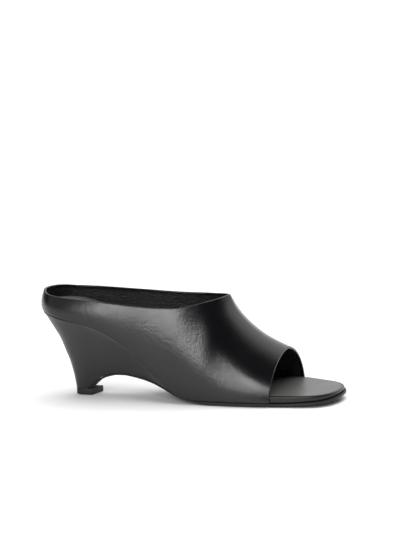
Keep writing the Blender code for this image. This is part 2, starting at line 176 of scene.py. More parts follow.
UNDERSIDE: tuple[UndersideRow, ...] = (
    UndersideRow(0.1646, 0.0779, 0.0221, 0.270),
    UndersideRow(0.1805, 0.1310, 0.0221, 0.290),
    UndersideRow(0.1993, 0.1809, 0.0221, 0.320),
    UndersideRow(0.2187, 0.2180, 0.0221, 0.355),
    UndersideRow(0.2370, 0.2400, 0.0221, 0.390),
    UndersideRow(0.2628, 0.2600, 0.0221, 0.435),
    UndersideRow(0.2901, 0.2620, 0.0221, 0.480),
    UndersideRow(0.3108, 0.2540, 0.0221, 0.515),
    UndersideRow(0.3481, 0.2290, 0.0221, 0.570),
    UndersideRow(0.3855, 0.1930, 0.0221, 0.630),
    UndersideRow(0.4216, 0.1480, 0.0221, 0.740),
    UndersideRow(0.4573, 0.0985, 0.0228, 0.860),
    UndersideRow(0.4755, 0.0760, 0.0235, 0.925),
    UndersideRow(0.5017, 0.0475, 0.0255, 0.975),
    UndersideRow(0.5266, 0.0270, 0.0270, 0.990),
    UndersideRow(0.5554, 0.0110, 0.0335, 0.997),
    UndersideRow(0.5901, 0.0010, 0.0431, 1.000),
    UndersideRow(0.6099, 0.0000, 0.0441, 1.000),
    UndersideRow(0.6446, 0.0000, 0.0441, 1.000),
    UndersideRow(0.8000, 0.0000, 0.0441, 1.000),
    UndersideRow(0.8529, 0.0059, 0.0441, 1.000),
    UndersideRow(0.9124, 0.0243, 0.0412, 1.000),
    UndersideRow(0.9520, 0.0412, 0.0375, 1.000),
    UndersideRow(1.0042, 0.0765, 0.0309, 1.000),
)
BACK: tuple[BackRow, ...] = (
    BackRow(0.0779, 0.1071),
    BackRow(0.2000, 0.1026),
    BackRow(0.4015, 0.0902),
    BackRow(0.5426, 0.0759),
    BackRow(0.6721, 0.0628),
    BackRow(0.7779, 0.0460),
    BackRow(0.8824, 0.0280),
    BackRow(0.9956, 0.0077),
)
COLLAR: tuple[CollarRow, ...] = (
    CollarRow(0.0000, 1.2441, 1.2441),
    CollarRow(0.0159, 1.2441, 1.2441),
    CollarRow(0.0298, 1.2150, 1.2420),
    CollarRow(0.0867, 1.1860, 1.2180),
    CollarRow(0.1780, 1.1559, 1.2030),
    CollarRow(0.2578, 1.1260, 1.1900),
    CollarRow(0.3421, 1.0910, 1.1770),
    CollarRow(0.4165, 1.0720, 1.1620),
    CollarRow(0.4726, 1.0690, 1.1530),
    CollarRow(0.5157, 1.0900, 1.1490),
    CollarRow(0.5597, 1.1220, 1.1480),
    CollarRow(0.5950, 1.1480, 1.1560),
    CollarRow(0.6149, 1.1620, 1.1640),
    CollarRow(0.6294, 1.1735, 1.1735),
)
SECTIONS: tuple[SectionRow, ...] = (
    SectionRow(0.7829, 0.8336, 0.8087, 0.0656, 0.5647, 1.78, 0.0004),
    SectionRow(0.7339, 0.7874, 0.7672, 0.0480, 0.6360, 1.84, 0.0007),
    SectionRow(0.6843, 0.7339, 0.7216, 0.0300, 0.7353, 1.90, 0.0010),
    SectionRow(0.6347, 0.6843, 0.6759, 0.0080, 0.8824, 1.95, 0.0012),
    SectionRow(0.5970, 0.6426, 0.6448, -0.0150, 1.0382, 1.98, 0.0013),
    SectionRow(0.5762, 0.6178, 0.6294, -0.0300, 1.1735, 2.00, 0.0014),
    SectionRow(0.5593, 0.5970, 0.6116, -0.0406, 1.2550, 2.00, 0.0014),
    SectionRow(0.5395, 0.5762, 0.5888, -0.0450, 1.3700, 2.00, 0.0014),
    SectionRow(0.5137, 0.5474, 0.5597, -0.0480, 1.5300, 2.00, 0.0014),
    SectionRow(0.4889, 0.5187, 0.5307, -0.0520, 1.6900, 2.00, 0.0013),
    SectionRow(0.4601, 0.4810, 0.4975, -0.0560, 1.8200, 2.00, 0.0012),
    SectionRow(0.4145, 0.4274, 0.4353, -0.0630, 1.9100, 2.00, 0.0009),
    SectionRow(0.3441, 0.3441, 0.3523, -0.0740, 1.8900, 2.00, 0.0006),
    SectionRow(0.2608, 0.2608, 0.2692, -0.0820, 1.8100, 2.00, 0.0005),
    SectionRow(0.1775, 0.1775, 0.1987, -0.0844, 1.7300, 2.00, 0.0006),
    SectionRow(0.1190, 0.1190, 0.1573, -0.0844, 1.7000, 2.00, 0.0009),
    SectionRow(0.0744, 0.0744, 0.1406, -0.0844, 1.7100, 2.00, 0.0011),
    SectionRow(0.0407, 0.0407, 0.1324, -0.0844, 1.7300, 2.00, 0.0012),
    SectionRow(0.0179, 0.0179, 0.1282, -0.0844, 1.7353, 2.00, 0.0012),
    SectionRow(0.0069, 0.0069, 0.1282, -0.0844, 1.7353, 2.00, 0.0012),
)


def column(table: Sequence[NamedTuple], name: str) -> np.ndarray:
    """Return one named column of a table as an array."""
    return np.array([getattr(row, name) for row in table], dtype=float)


@dataclass(frozen=True)
class GentleCurve:
    """A curve through table values that never overshoots them."""

    xs: np.ndarray
    ys: np.ndarray

    def __call__(self, at: np.ndarray | float) -> np.ndarray:
        """Evaluate the curve.

        Args:
            at: Positions to read, in the units of ``xs``.

        Returns:
            The values there.
        """
        step = np.diff(self.xs)
        slope = np.diff(self.ys) / step
        tangent = np.zeros_like(self.ys)
        for i in range(1, len(self.xs) - 1):
            if slope[i - 1] * slope[i] > 0.0:
                before, after = 2 * step[i] + step[i - 1], step[i] + 2 * step[i - 1]
                tangent[i] = (before + after) / (before / slope[i - 1] + after / slope[i])
        tangent[0], tangent[-1] = slope[0], slope[-1]
        at = np.asarray(at, float)
        cell = np.clip(np.searchsorted(self.xs, at, side="right") - 1, 0, len(self.xs) - 2)
        t = np.clip((at - self.xs[cell]) / step[cell], 0.0, 1.0)
        return (self.ys[cell] * (1 + 2 * t) * (1 - t) ** 2 + step[cell] * tangent[cell] * t * (1 - t) ** 2
                + self.ys[cell + 1] * t * t * (3 - 2 * t)
                + step[cell] * tangent[cell + 1] * t * t * (t - 1))


@dataclass(frozen=True)
class FairCurve:
    """The natural cubic curve through table values."""

    xs: np.ndarray
    ys: np.ndarray
    bend: np.ndarray = field(init=False)

    def __post_init__(self) -> None:
        """Solve for the second derivative at each table value."""
        step, count = np.diff(self.xs), len(self.xs)
        matrix, right = np.eye(count), np.zeros(count)
        for i in range(1, count - 1):
            matrix[i, i - 1:i + 2] = step[i - 1], 2.0 * (step[i - 1] + step[i]), step[i]
            right[i] = 6.0 * ((self.ys[i + 1] - self.ys[i]) / step[i]
                              - (self.ys[i] - self.ys[i - 1]) / step[i - 1])
        object.__setattr__(self, "bend", np.linalg.solve(matrix, right))

    def __call__(self, at: np.ndarray | float) -> np.ndarray:
        """Evaluate the curve.

        Args:
            at: Positions to read, in the units of ``xs``.

        Returns:
            The values there.
        """
        at = np.asarray(at, float)
        cell = np.clip(np.searchsorted(self.xs, at, side="right") - 1, 0, len(self.xs) - 2)
        h = np.diff(self.xs)[cell]
        low, high = self.xs[cell + 1] - at, at - self.xs[cell]
        bend, ys = self.bend, self.ys
        return ((bend[cell] * low ** 3 + bend[cell + 1] * high ** 3) / (6.0 * h)
                + (ys[cell] / h - bend[cell] * h / 6.0) * low
                + (ys[cell + 1] / h - bend[cell + 1] * h / 6.0) * high)


def smooth_step(share: float) -> float:
    """Ease a share from 0 to 1 with flat ends."""
    share = min(1.0, max(0.0, share))
    return share * share * (3.0 - 2.0 * share)


@dataclass(frozen=True)
class Last:
    """The form the shoe is built on, as curves through the section tables.

    "Along" runs from 0 at the back of the heel to 1 at the toe tip.
    """

    length: float = 0.2410
    ball_width: float = 0.0800
    seat_height: float = 0.0680
    wall: float = 0.0018
    clearance: float = 0.0003
    rim_inset: float = 0.0023
    sole_inset: float = 0.0010
    sock_inset: float = 0.0011
    sock_thickness: float = 0.0009
    heel_middle: float = -0.0844

    def x(self, along: np.ndarray | float) -> np.ndarray:
        """Position on X of a share of the length."""
        return (np.asarray(along, float) - 0.5) * self.length

    def along(self, x: np.ndarray | float) -> np.ndarray:
        """Share of the length at a position on X."""
        return np.asarray(x, float) / self.length + 0.5

    @staticmethod
    def turn_of(along: np.ndarray | float) -> np.ndarray:
        """Angle round the outline of a share of the length: 0 at the heel, pi at the toe."""
        first, last = OUTLINE[0].along, OUTLINE[-1].along
        share = (np.asarray(along, float) - first) / (last - first)
        return np.arccos(np.clip(1.0 - 2.0 * share, -1.0, 1.0))

    @staticmethod
    def along_of(turn: np.ndarray | float) -> np.ndarray:
        """Share of the length at an angle round the outline."""
        first, last = OUTLINE[0].along, OUTLINE[-1].along
        return first + (last - first) * (1.0 - np.cos(turn)) / 2.0

    def outline(self, along: np.ndarray | float, side: Side) -> np.ndarray:
        """Across position of the outline on one side, in metres."""
        curve = FairCurve(self.turn_of(column(OUTLINE, "along")), column(OUTLINE, side.column))
        return self.ball_width * curve(self.turn_of(along))

    def feather(self, along: np.ndarray | float) -> np.ndarray:
        """Height of the bottom edge of the upper."""
        return self.seat_height * GentleCurve(column(PROFILE, "along"), column(PROFILE, "feather"))(along)

    def footbed(self, along: np.ndarray | float) -> np.ndarray:
        """Height of the top of the sock."""
        return self.seat_height * GentleCurve(column(PROFILE, "along"), column(PROFILE, "footbed"))(along)

    def underside(self, along: np.ndarray | float, name: str) -> np.ndarray:
        """One column of the underside table, in metres unless it is the spread."""
        value = GentleCurve(column(UNDERSIDE, "along"), column(UNDERSIDE, name))(along)
        return value if name == "spread" else self.seat_height * value

    def middle(self, along: float) -> float:
        """The line that the wedge and the waist of the sole narrow towards, across."""
        return float(self.ball_width * np.interp(
            along, (0.0, 0.27, 0.55, 0.80, 1.0), (self.heel_middle, self.heel_middle, -0.04, 0.0, -0.03)))

    def inset(self, count: int, inset: float) -> tuple[np.ndarray, np.ndarray]:
        """Outline points from heel to toe, moved in square to the edge.

        Args:
            count: Points on each side.
            inset: Distance in from the outside of the upper, in metres.

        Returns:
            The lateral and the medial points, each an array of (x, y) rows.
        """
        turns = np.linspace(0.0, math.pi, count)
        along = self.along_of(turns)
        rows = []
        for side in Side:
            points = np.column_stack([self.x(along), self.outline(along, side)])
            run = np.gradient(points, axis=0)
            run[0], run[-1] = (0.0, side.value), (0.0, -side.value)
            run /= np.linalg.norm(run, axis=1)[:, None]
            inward = np.column_stack([run[:, 1], -run[:, 0]]) * side.value
            rows.append(points + inward * inset)
        return rows[0], rows[1]


def offset_curve(points: np.ndarray, distance: np.ndarray) -> np.ndarray:
    """Move a side-view curve square to itself.

    Args:
        points: Rows of (x, z) from heel to toe.
        distance: How far each point goes, upwards when positive.

    Returns:
        The moved rows.
    """
    run = np.gradient(points, axis=0)
    run /= np.linalg.norm(run, axis=1)[:, None]
    return points + np.column_stack([-run[:, 1], run[:, 0]]) * np.asarray(distance)[:, None]


def evenly(points: np.ndarray, count: int) -> np.ndarray:
    """Resample a polyline at even steps of its length."""
    length = np.concatenate([[0.0], np.cumsum(np.linalg.norm(np.diff(points, axis=0), axis=1))])
    marks = np.linspace(0.0, length[-1], count)
    return np.column_stack([np.interp(marks, length, points[:, k]) for k in range(points.shape[1])])


class Workshop:
    """Turns raw points into finished, smooth-shaded pieces that ride on the shoe."""

    @staticmethod
    def mesh_piece(name: str, vertices: Sequence[Sequence[float]], faces: Sequence[Sequence[int]],
                   crease_angle: float = 50.0) -> bpy.types.Object:
        """Make a closed, outward-facing object.

        Args:
            name: Name of the piece.
            vertices: Points in metres.
            faces: Loops of vertex numbers.
            crease_angle: Edges sharper than this, in degrees, stay sharp.

        Returns:
            The new object, at the origin.
        """
        mesh = bpy.data.meshes.new(name)
        mesh.from_pydata([tuple(map(float, v)) for v in vertices], [], [tuple(f) for f in faces])
        work = bmesh.new()
        work.from_mesh(mesh)
        bmesh.ops.remove_doubles(work, verts=work.verts, dist=1e-7)
        bmesh.ops.dissolve_degenerate(work, edges=work.edges, dist=1e-7)
        bmesh.ops.recalc_face_normals(work, faces=work.faces)
        for face in work.faces:
            face.smooth = True
        for edge in work.edges:
            if len(edge.link_faces) == 2 and edge.calc_face_angle(0.0) > math.radians(crease_angle):
                edge.smooth = False
        work.to_mesh(mesh)
        work.free()
        piece = bpy.data.objects.new(name, mesh)
        bpy.context.scene.collection.objects.link(piece)
        return piece

    @classmethod
    def loft(cls, name: str, rings: Sequence[Ring], capped: bool, crease_angle: float = 50.0) -> bpy.types.Object:
        """Skin closed rings of equal length into a solid.

        Args:
            name: Name of the piece.
            rings: Closed loops of points, in order.
            capped: Whether the first and last rings are filled.
            crease_angle: Edges sharper than this, in degrees, stay sharp.

        Returns:
            The new object.
        """
        count = len(rings[0])
        vertices = [point for ring in rings for point in ring]
        faces: list[tuple[int, ...]] = []
        for i in range(len(rings) - 1):
            for j in range(count):
                a, b = i * count + j, i * count + (j + 1) % count
                faces.append((a, b, b + count, a + count))
        if capped:
            for start in (0, (len(rings) - 1) * count):
                faces.append(tuple(range(start, start + count)))
        return cls.mesh_piece(name, vertices, faces, crease_angle)

    @staticmethod
    def bake_modifiers(piece: bpy.types.Object) -> None:
        """Replace a piece's mesh by its modified mesh and drop the modifiers."""
        graph = bpy.context.evaluated_depsgraph_get()
        baked = bpy.data.meshes.new_from_object(piece.evaluated_get(graph), depsgraph=graph)
        piece.modifiers.clear()
        piece.data = baked

    @staticmethod
    def finish(piece: bpy.types.Object, material: bpy.types.Material, slot: str,
               replaces: str | None = None) -> bpy.types.Object:
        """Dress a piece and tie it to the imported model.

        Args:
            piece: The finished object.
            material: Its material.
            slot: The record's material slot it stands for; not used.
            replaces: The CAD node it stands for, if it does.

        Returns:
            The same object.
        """
        piece.data.materials.clear()
        piece.data.materials.append(material)
        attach(piece, ROOT)
        if replaces is not None:
            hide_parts(replaces)
        faces = len(piece.data.polygons)
        LOG.info("%s: %d faces", piece.name, faces)
        return piece


@dataclass(frozen=True)
class Grain:
    """Surface relief of a leather: pebbles and fine wrinkles."""

    pebble_size: float
    pebble_depth: float
    wrinkle_size: float
    wrinkle_depth: float
    wrinkle_stretch: float = 1.0


@dataclass(frozen=True)
class LeatherFinish:
    """A leather: its two tones, its gloss and its grain."""

    name: str
    tone: tuple[float, float, float]
    deep_tone: tuple[float, float, float]
    roughness: float
    roughness_spread: float
    coat: float
    coat_roughness: float
    specular: float
    grain: Grain

    def build(self) -> bpy.types.Material:
        """Make the node material.

        Returns:
            The new material.
        """
        material = bpy.data.materials.new(self.name)
        material.use_nodes = True
        nodes, links = material.node_tree.nodes, material.node_tree.links
        shader = nodes["Principled BSDF"]
        shader.inputs["Specular IOR Level"].default_value = self.specular
        shader.inputs["Coat Weight"].default_value = self.coat
        shader.inputs["Coat Roughness"].default_value = self.coat_roughness
        place = nodes.new("ShaderNodeTexCoord")

        mottle = nodes.new("ShaderNodeTexNoise")
        mottle.inputs["Scale"].default_value = 38.0
        mottle.inputs["Detail"].default_value = 5.0
        links.new(place.outputs["Object"], mottle.inputs["Vector"])
        tones = nodes.new("ShaderNodeMix")
        tones.data_type = "RGBA"
        tones.inputs["A"].default_value = (*self.deep_tone, 1.0)
        tones.inputs["B"].default_value = (*self.tone, 1.0)
        links.new(mottle.outputs["Fac"], tones.inputs["Factor"])
        links.new(tones.outputs["Result"], shader.inputs["Base Color"])

        gloss = nodes.new("ShaderNodeMapRange")
        gloss.inputs["From Min"].default_value = 0.3
        gloss.inputs["From Max"].default_value = 0.7
        gloss.inputs["To Min"].default_value = self.roughness - self.roughness_spread
        gloss.inputs["To Max"].default_value = self.roughness + self.roughness_spread
        links.new(mottle.outputs["Fac"], gloss.inputs["Value"])
        links.new(gloss.outputs["Result"], shader.inputs["Roughness"])

        pebbles = nodes.new("ShaderNodeTexVoronoi")
        pebbles.feature = "SMOOTH_F1"
        pebbles.inputs["Scale"].default_value = 1.0 / self.grain.pebble_size
        pebbles.inputs["Smoothness"].default_value = 0.55
        warp = nodes.new("ShaderNodeTexNoise")
        warp.inputs["Scale"].default_value = 0.4 / self.grain.pebble_size
        warp.inputs["Detail"].default_value = 3.0
        bend = nodes.new("ShaderNodeVectorMath")
        bend.operation = "MULTIPLY_ADD"
        bend.inputs[1].default_value = (self.grain.pebble_size * 0.9,) * 3
        links.new(place.outputs["Object"], warp.inputs["Vector"])
        links.new(warp.outputs["Color"], bend.inputs[0])
        links.new(place.outputs["Object"], bend.inputs[2])
        links.new(bend.outputs["Vector"], pebbles.inputs["Vector"])

        run = nodes.new("ShaderNodeMapping")
        run.inputs["Scale"].default_value = (1.0, 1.0, self.grain.wrinkle_stretch)
        wrinkles = nodes.new("ShaderNodeTexNoise")
        wrinkles.inputs["Scale"].default_value = 1.0 / self.grain.wrinkle_size
        wrinkles.inputs["Detail"].default_value = 6.0
        wrinkles.inputs["Roughness"].default_value = 0.62
        links.new(place.outputs["Object"], run.inputs["Vector"])
        links.new(run.outputs["Vector"], wrinkles.inputs["Vector"])

        coarse = nodes.new("ShaderNodeBump")
        coarse.inputs["Distance"].default_value = self.grain.wrinkle_depth
        coarse.inputs["Strength"].default_value = 1.0
        fine = nodes.new("ShaderNodeBump")
        fine.inputs["Distance"].default_value = self.grain.pebble_depth
        fine.inputs["Strength"].default_value = 1.0
        links.new(wrinkles.outputs["Fac"], coarse.inputs["Height"])
        links.new(pebbles.outputs["Distance"], fine.inputs["Height"])
        links.new(coarse.outputs["Normal"], fine.inputs["Normal"])
        links.new(fine.outputs["Normal"], shader.inputs["Normal"])
        links.new(fine.outputs["Normal"], shader.inputs["Coat Normal"])
        return material


@dataclass
class Upper:
    """The one-piece leather upper: outer wall, grained lining and the folded edges."""

    last: Last
    closed_sections: int = 6
    stations: int = 200
    outer_thickness: float = 0.0011
    lining_thickness: float = 0.0006
    lining_gap: float = 0.00006
    lining_drop: float = 0.0012
    bottom_round: float = 0.0012
    bottom_tuck: float = 0.0009
    edge_radius: float = 0.00088
    edge_segments: int = 10
    fairing_passes: int = 90
    fairing_reach: float = 0.030
    flank_rows: int = 60

    def __post_init__(self) -> None:
        """Read the section table once as curves."""
        rows = np.arange(len(SECTIONS), dtype=float)
        self.curves = {name: FairCurve(rows, column(SECTIONS, name)) for name in SectionRow._fields}
        for name in ("lateral_along", "medial_along"):
            self.curves[name] = FairCurve(rows, self.last.turn_of(column(SECTIONS, name)))
        self.throat = self.closed_sections - 1
        closed = np.linspace(0.0, self.throat, self.stations // 3)
        share = np.linspace(0.0, 1.0, self.stations - len(closed) + 1)[1:]
        beyond = self.throat + (len(SECTIONS) - 1 - self.throat) * share ** 1.15
        self.rows = np.concatenate([closed, beyond])
        self.closed_count = len(closed)

    def section(self, row: float) -> SectionRow:
        """Every column of the section table at a fractional row."""
        values = {name: float(curve(row)) for name, curve in self.curves.items()}
        for name in ("lateral_along", "medial_along"):
            values[name] = float(self.last.along_of(values[name]))
        return SectionRow(**values)

    def collar_height(self, x: float, side: Side) -> float:
        """Height of the top line at a position on X."""
        curve = GentleCurve(column(COLLAR, "along"), column(COLLAR, side.column))
        return self.last.seat_height * float(curve(self.last.along(x)))

    def shares(self) -> np.ndarray:
        """Shares of the way up a section, closer together at both ends."""
        start = np.array([0.0, 0.0025, 0.006, 0.011, 0.018])
        rest = np.linspace(0.03, 1.0, self.flank_rows)
        return np.concatenate([start, rest])

    def flank(self, row: float, side: Side, open_top: bool) -> list[np.ndarray]:
        """Points up one side of one section, from the sole to the collar or the ridge.

        Args:
            row: Fractional row of the section table.
            side: Which side of the shoe.
            open_top: Whether this section ends at the collar.

        Returns:
            The points, bottom first.
        """
        values = self.section(row)
        foot_along = getattr(values, side.column + "_along")
        foot = np.array([float(self.last.x(foot_along)), float(self.last.outline(foot_along, side))])
        ridge = np.array([float(self.last.x(values.ridge_along)), self.last.ball_width * values.ridge_side])
        low = float(self.last.feather(foot_along))
        high = self.last.seat_height * values.ridge_height

        def point(angle: float) -> np.ndarray:
            rise = math.sin(angle) ** (2.0 / values.power)
            reach = max(math.cos(angle), 0.0) ** (2.0 / values.power)
            plan = ridge + (foot - ridge) * reach
            return np.array([plan[0], plan[1], low + (high - low) * rise])

        last_angle = math.pi / 2.0
        if open_top:
            below, above = 0.0, last_angle
            for _ in range(34):
                mid = (below + above) / 2.0
                x, _, z = point(mid)
                if z < self.collar_height(x, side):
                    below = mid
                else:
                    above = mid
            last_angle = below
        outward = (foot - ridge) / max(float(np.linalg.norm(foot - ridge)), 1e-9)
        points = []
        for share in self.shares():
            spot = point(last_angle * share)
            swell = values.swell * math.sin(math.pi * share ** 0.75)
            rise = spot[2] - low
            tuck = max(0.0, 1.0 - rise / self.bottom_round) ** 2 * self.bottom_tuck
            points.append(spot + np.array([*(outward * (swell - tuck)), 0.0]))
        return points

    def outer_grid(self) -> dict[Side, np.ndarray]:
        """Outer surface of the upper as a grid of points for each side."""
        grids = {}
        for side in Side:
            grid = np.array([self.flank(row, side, i >= self.closed_count)
                             for i, row in enumerate(self.rows)])
            grids[side] = self.faired(grid)
        return grids

    def faired(self, grid: np.ndarray) -> np.ndarray:
        """Soften the turn from the side wall to the vamp, away from the edges.

        Args:
            grid: Points by station and height.

        Returns:
            The faired points.
        """
        smooth = grid.copy()
        for _ in range(self.fairing_passes):
            smooth[1:-1] = 0.25 * smooth[:-2] + 0.5 * smooth[1:-1] + 0.25 * smooth[2:]
        throat = grid[self.closed_count - 1, :, 0]
        near = np.exp(-((grid[:, :, 0] - throat[None, :]) / self.fairing_reach) ** 2)
        share = self.shares()
        inside = np.array([smooth_step(t / 0.12) * smooth_step((1.0 - t) / 0.25) for t in share])
        weight = near * inside[None, :]
        return grid + (smooth - grid) * weight[:, :, None]

    @staticmethod
    def grid_faces(shape: tuple[int, int], start: int) -> list[tuple[int, int, int, int]]:
        """Quads of a grid of points numbered from ``start``."""
        count, rows = shape
        return [(start + i * rows + j, start + (i + 1) * rows + j,
                 start + (i + 1) * rows + j + 1, start + i * rows + j + 1)
                for i in range(count - 1) for j in range(rows - 1)]

    def skin(self, name: str, grids: dict[Side, np.ndarray], depth: float, thickness: float,
             first: int = 0, drop: float = 0.0) -> bpy.types.Object:
        """A closed wall that follows the outer surface at a depth under it.

        Args:
            name: Name of the piece.
            grids: Outer surface for each side.
            depth: How far under the surface the wall starts.
            thickness: Thickness of the wall, inwards.
            first: Stations left out at the toe opening.
            drop: How far the wall stops short of the collar.

        Returns:
            The piece.
        """
        normals = self.inward_normals(grids)
        vertices: list[np.ndarray] = []
        faces: list[tuple[int, ...]] = []
        for side, grid in grids.items():
            inward = normals[side]
            outer, inner = grid + inward * depth, grid + inward * (depth + thickness)
            if drop:
                outer, inner = self.dropped(outer, drop), self.dropped(inner, drop)
            outer, inner = outer[first:], inner[first:]
            count, rows = outer.shape[:2]
            start = len(vertices)
            vertices += list(outer.reshape(-1, 3)) + list(inner.reshape(-1, 3))
            under = start + count * rows
            faces += self.grid_faces((count, rows), start) + self.grid_faces((count, rows), under)
            rim = [j for j in range(rows)]
            faces += [(start + j, start + j + 1, under + j + 1, under + j) for j in rim[:-1]]
            faces += [(start + i * rows, start + (i + 1) * rows, under + (i + 1) * rows, under + i * rows)
                      for i in range(count - 1)]
            top = rows - 1
            faces += [(start + i * rows + top, start + (i + 1) * rows + top,
                       under + (i + 1) * rows + top, under + i * rows + top)
                      for i in range(self.closed_count - 1 - first, count - 1)]
        return Workshop.mesh_piece(name, vertices, faces, 75.0)

    def dropped(self, grid: np.ndarray, drop: float) -> np.ndarray:
        """Lower the last rows of a wall under the collar.

        Args:
            grid: Points by station and height.
            drop: How far the top row goes down.

        Returns:
            The lowered points.
        """
        rows = grid.shape[1]
        rise = np.clip((np.arange(rows) / (rows - 1) - 0.8) / 0.2, 0.0, 1.0) ** 2
        ease = np.clip((np.arange(grid.shape[0]) - self.closed_count) / 14.0, 0.0, 1.0)
        lowered = grid.copy()
        lowered[:, :, 2] -= drop * ease[:, None] * rise[None, :]
        return lowered

    def inward_normals(self, grids: dict[Side, np.ndarray]) -> dict[Side, np.ndarray]:
        """Unit directions into the shoe at every grid point, shared where the sides meet.

        Args:
            grids: Outer surface for each side.

        Returns:
            The directions for each side.
        """
        work = bmesh.new()
        handles: dict[Side, list[bmesh.types.BMVert]] = {}
        for side, grid in grids.items():
            count, rows = grid.shape[:2]
            handles[side] = [work.verts.new(tuple(map(float, p))) for p in grid.reshape(-1, 3)]
            for i in range(count - 1):
                for j in range(rows - 1):
                    loop = [handles[side][i * rows + j], handles[side][(i + 1) * rows + j],
                            handles[side][(i + 1) * rows + j + 1], handles[side][i * rows + j + 1]]
                    work.faces.new(loop if side is Side.LATERAL else loop[::-1])
        work.normal_update()
        result = {}
        for side, grid in grids.items():
            found = np.array([tuple(v.normal) for v in handles[side]]).reshape(grid.shape)
            result[side] = found
        work.free()
        lateral, medial = result[Side.LATERAL], result[Side.MEDIAL]
        if float(np.mean(lateral[:, 5:20, 1])) < 0.0:
            lateral, medial = -lateral, -medial
        seams = [(slice(0, self.closed_count), -1), (len(self.rows) - 1, slice(None))]
        for seam in seams:
            shared = lateral[seam] + medial[seam]
            lateral[seam] = medial[seam] = shared
        for normal in (lateral, medial):
            normal /= np.maximum(np.linalg.norm(normal, axis=2, keepdims=True), 1e-12)
        return {Side.LATERAL: lateral, Side.MEDIAL: medial}

    def rim_path(self, grids: dict[Side, np.ndarray], collar: bool) -> np.ndarray:
        """Middle of the wall's rim, round the collar or over the toe opening.

        Args:
            grids: Outer surface for each side.
            collar: True for the collar, False for the toe opening.

        Returns:
            Path points; the collar's last point isn't repeated.
        """
        normals = self.inward_normals(grids)
        inset = self.edge_radius
        lateral, medial = grids[Side.LATERAL], grids[Side.MEDIAL]
        n_lat, n_med = normals[Side.LATERAL], normals[Side.MEDIAL]
        if collar:
            first = self.closed_count
            a = lateral[first:, -1] + n_lat[first:, -1] * inset
            b = medial[first:, -1] + n_med[first:, -1] * inset
            tip = lateral[self.closed_count - 1, -1] + np.array([-inset, 0.0, -inset * 0.4])
            path = np.vstack([tip[None, :], a, b[:-1][::-1]])
            path[:, 2] -= inset * 0.35
            return path
        a = lateral[0] + n_lat[0] * inset
        b = medial[0] + n_med[0] * inset
        a[-1] = b[-1] = lateral[0, -1] + np.array([0.0, 0.0, -inset])
        path = np.vstack([a, b[:-1][::-1]])
        path[:, 0] -= inset * 0.35
        return path

    def folded_edge(self, name: str, path: np.ndarray, closed: bool) -> bpy.types.Object:
        """Sweep the folded leather edge along a rim with a geometry-node tree.

        Args:
            name: Name of the piece.
            path: Points the edge follows.
            closed: Whether the path is a loop.

        Returns:
            The piece as a plain mesh.
        """
        curve = bpy.data.curves.new(name + "_path", "CURVE")
        curve.dimensions = "3D"
        spline = curve.splines.new("POLY")
        path = evenly(np.vstack([path, path[:1]]) if closed else path, 420)
        if closed:
            path = path[:-1]
        spline.points.add(len(path) - 1)
        for spot, point in zip(path, spline.points):
            point.co = (*map(float, spot), 1.0)
        spline.use_cyclic_u = closed
        guide = bpy.data.objects.new(name + "_guide", curve)
        bpy.context.scene.collection.objects.link(guide)
        tree = EdgeTree(name + "_tree").build()
        carrier = bpy.data.objects.new(name, bpy.data.meshes.new(name))
        bpy.context.scene.collection.objects.link(carrier)
        modifier = carrier.modifiers.new("edge", "NODES")
        modifier.node_group = tree
        sockets = {item.name: item.identifier for item in tree.interface.items_tree
                   if item.item_type == "SOCKET" and item.in_out == "INPUT"}
        modifier[sockets["Path"]] = guide
        modifier[sockets["Radius"]] = self.edge_radius
        modifier[sockets["Segments"]] = self.edge_segments
        Workshop.bake_modifiers(carrier)
        bpy.data.objects.remove(guide, do_unlink=True)
        work = bmesh.new()
        work.from_mesh(carrier.data)
        bmesh.ops.remove_doubles(work, verts=work.verts, dist=1e-7)
        bmesh.ops.recalc_face_normals(work, faces=work.faces)
        for face in work.faces:
            face.smooth = True
        work.to_mesh(carrier.data)
        work.free()
        return carrier

    def build(self, leather: bpy.types.Material, lining: bpy.types.Material) -> None:
        """Build and dress every piece of the upper.

        Args:
            leather: Material of the outside and the edges.
            lining: Material of the inside.
        """
        grids = self.outer_grid()
        Workshop.finish(self.skin("upper_leather", grids, 0.0, self.outer_thickness), leather,
                        "upper_leather", "upper")
        depth = self.outer_thickness + self.lining_gap
        Workshop.finish(self.skin("upper_lining", grids, depth, self.lining_thickness, 3, self.lining_drop),
                        lining, "upper_leather")
        Workshop.finish(self.folded_edge("collar_edge", self.rim_path(grids, True), True), leather,
                        "upper_leather")
        Workshop.finish(self.folded_edge("toe_edge", self.rim_path(grids, False), False), leather,
                        "upper_leather")


